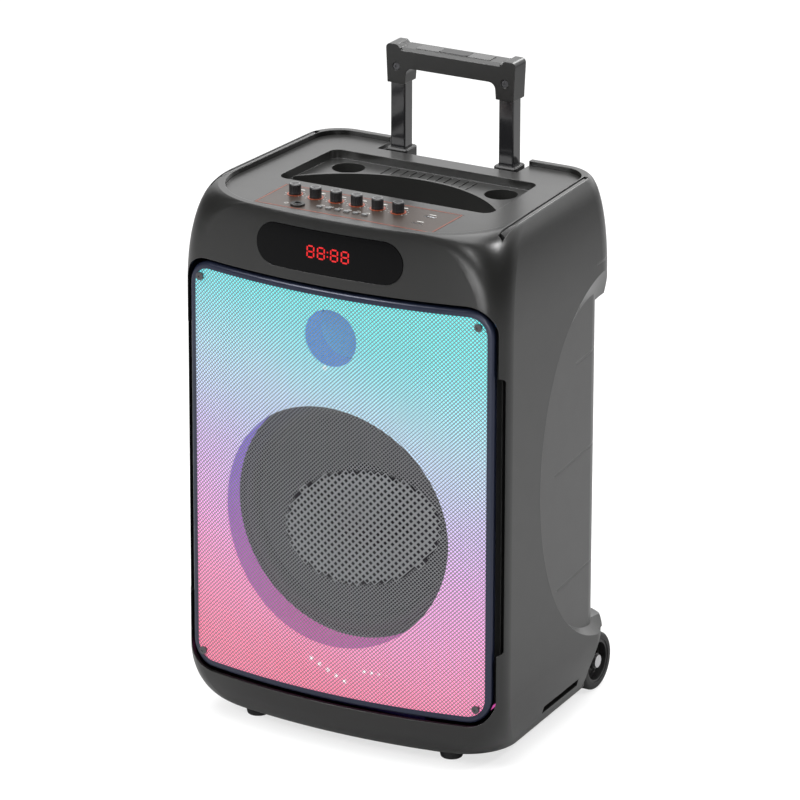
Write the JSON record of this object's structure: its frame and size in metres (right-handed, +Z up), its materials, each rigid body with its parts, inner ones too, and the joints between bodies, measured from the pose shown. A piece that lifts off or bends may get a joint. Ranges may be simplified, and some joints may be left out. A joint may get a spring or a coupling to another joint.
{
  "type": "party speaker",
  "caption": "Wheeled party loudspeaker with a telescoping pull handle, bowed light-up grille, top control panel, tray with holders and a recessed hand pocket.",
  "frame": {"origin": "on the floor, at the middle of the footprint's bounding box", "axes": "+Z up, -Y towards the listener, +X to the right as seen from the front"},
  "size_m": [0.3824, 0.3265, 0.699],
  "materials": {
    "body_plastic": "satin, fine moulded grain",
    "top_plastic": "satin",
    "gloss_trim": "gloss",
    "grille_metal": "perforated steel, grey paint",
    "lit_panel": "translucent, lit from behind",
    "white_frame": "matte white",
    "board_wood": "fibreboard",
    "circuit": "circuit board",
    "basket_metal": "black paint",
    "soft_rubber": "matte",
    "cone_paper": "moulded cone, fine texture",
    "magnet_metal": "ferrite and plated steel",
    "black_plastic": "satin black",
    "gloss_window": "smoked gloss",
    "control_print": "printed film",
    "steel": "plated",
    "dark_steel": "blackened",
    "post_metal": "gloss black",
    "wheel_tyre": "matte",
    "battery_wrap": "shrink wrap",
    "knob_plastic": "satin",
    "button_plastic": "satin"
  },
  "bodies": {
    "cabinet": {"cabinet_shell": "body_plastic", "top_panel": "top_plastic", "rim_trim_left": "gloss_trim", "rim_trim_right": "gloss_trim", "front_grille": "grille_metal", "light_diffuser": "lit_panel", "light_frame": "white_frame", "front_baffle": "board_wood", "led_strips": "circuit", "woofer_basket": "basket_metal", "woofer_surround": "soft_rubber", "woofer_magnet": "magnet_metal", "grille_insert": "grille_metal", "tweeter_horn": "black_plastic", "tweeter_driver": "magnet_metal", "display_window": "gloss_window", "display_board": "circuit", "control_plate": "control_print", "control_board": "circuit", "potentiometers": "steel", "jack_socket": "black_plastic", "usb_socket": "steel", "card_socket": "steel", "back_panel": "black_plastic", "back_screws": "steel", "grille_screws": "dark_steel", "bass_port": "black_plastic", "io_plate": "black_plastic", "power_inlet": "black_plastic", "rocker_frame": "black_plastic", "guide_tubes": "steel", "tube_collars": "black_plastic", "axle": "steel", "front_feet": "soft_rubber", "battery_pack": "battery_wrap", "amplifier_board": "circuit"},
    "cone": {"woofer_cone": "cone_paper", "woofer_cap": "cone_paper"},
    "handle": {"handle_posts": "post_metal", "handle_grip": "body_plastic", "grip_cap": "gloss_trim", "handle_screws": "dark_steel"},
    "release": {"release_button": "black_plastic"},
    "wheel_left": {"wheel_tyre_left": "wheel_tyre", "wheel_hub_left": "black_plastic"},
    "wheel_right": {"wheel_tyre_right": "wheel_tyre", "wheel_hub_right": "black_plastic"},
    "rocker": {"power_rocker": "gloss_trim"},
    "knob_1_body": {"knob_1": "knob_plastic"},
    "knob_2_body": {"knob_2": "knob_plastic"},
    "knob_3_body": {"knob_3": "knob_plastic"},
    "knob_4_body": {"knob_4": "knob_plastic"},
    "knob_5_body": {"knob_5": "knob_plastic"},
    "knob_6_body": {"knob_6": "knob_plastic"},
    "button_1_body": {"button_1": "button_plastic"},
    "button_2_body": {"button_2": "button_plastic"},
    "button_3_body": {"button_3": "button_plastic"},
    "button_4_body": {"button_4": "button_plastic"},
    "button_5_body": {"button_5": "button_plastic"},
    "button_6_body": {"button_6": "button_plastic"}
  },
  "joints": [
    {"name": "handle_slide", "type": "slide", "parent": "cabinet", "child": "handle", "axis": [0, 0, 1], "range_m": [-0.071, 0.3]},
    {"name": "release_press", "type": "slide", "parent": "handle", "child": "release", "axis": [0, 0, -1], "range_m": [0, 0.003], "stiffness_N_per_m": 800},
    {"name": "wheel_left_spin", "type": "hinge", "parent": "cabinet", "child": "wheel_left", "pos_m": [-0.1545, 0.13125, 0.032], "axis": [1, 0, 0], "continuous": true},
    {"name": "wheel_right_spin", "type": "hinge", "parent": "cabinet", "child": "wheel_right", "pos_m": [0.1545, 0.13125, 0.032], "axis": [1, 0, 0], "continuous": true},
    {"name": "rocker_tip", "type": "hinge", "parent": "cabinet", "child": "rocker", "pos_m": [0.034, 0.13285, 0.1742], "axis": [1, 0, 0], "range_deg": [-7, 7]},
    {"name": "cone_travel", "type": "slide", "parent": "cabinet", "child": "cone", "axis": [0, -1, 0], "range_m": [-0.004, 0.004], "stiffness_N_per_m": 3000},
    {"name": "knob_1_turn", "type": "hinge", "parent": "cabinet", "child": "knob_1_body", "pos_m": [-0.0805, -0.08825, 0.59], "axis": [0, 0, -1], "range_deg": [-140, 140]},
    {"name": "knob_2_turn", "type": "hinge", "parent": "cabinet", "child": "knob_2_body", "pos_m": [-0.056, -0.08825, 0.59], "axis": [0, 0, -1], "range_deg": [-140, 140]},
    {"name": "knob_3_turn", "type": "hinge", "parent": "cabinet", "child": "knob_3_body", "pos_m": [-0.0315, -0.08825, 0.59], "axis": [0, 0, -1], "range_deg": [-140, 140]},
    {"name": "knob_4_turn", "type": "hinge", "parent": "cabinet", "child": "knob_4_body", "pos_m": [-0.007, -0.08825, 0.59], "axis": [0, 0, -1], "range_deg": [-140, 140]},
    {"name": "knob_5_turn", "type": "hinge", "parent": "cabinet", "child": "knob_5_body", "pos_m": [0.0175, -0.08825, 0.59], "axis": [0, 0, -1], "range_deg": [-140, 140]},
    {"name": "knob_6_turn", "type": "hinge", "parent": "cabinet", "child": "knob_6_body", "pos_m": [0.042, -0.08825, 0.59], "axis": [0, 0, -1], "range_deg": [-140, 140]},
    {"name": "button_1_press", "type": "slide", "parent": "cabinet", "child": "button_1_body", "axis": [0, 0, -1], "range_m": [0, 0.0007], "stiffness_N_per_m": 600},
    {"name": "button_2_press", "type": "slide", "parent": "cabinet", "child": "button_2_body", "axis": [0, 0, -1], "range_m": [0, 0.0007], "stiffness_N_per_m": 600},
    {"name": "button_3_press", "type": "slide", "parent": "cabinet", "child": "button_3_body", "axis": [0, 0, -1], "range_m": [0, 0.0007], "stiffness_N_per_m": 600},
    {"name": "button_4_press", "type": "slide", "parent": "cabinet", "child": "button_4_body", "axis": [0, 0, -1], "range_m": [0, 0.0007], "stiffness_N_per_m": 600},
    {"name": "button_5_press", "type": "slide", "parent": "cabinet", "child": "button_5_body", "axis": [0, 0, -1], "range_m": [0, 0.0007], "stiffness_N_per_m": 600},
    {"name": "button_6_press", "type": "slide", "parent": "cabinet", "child": "button_6_body", "axis": [0, 0, -1], "range_m": [0, 0.0007], "stiffness_N_per_m": 600}
  ]
}
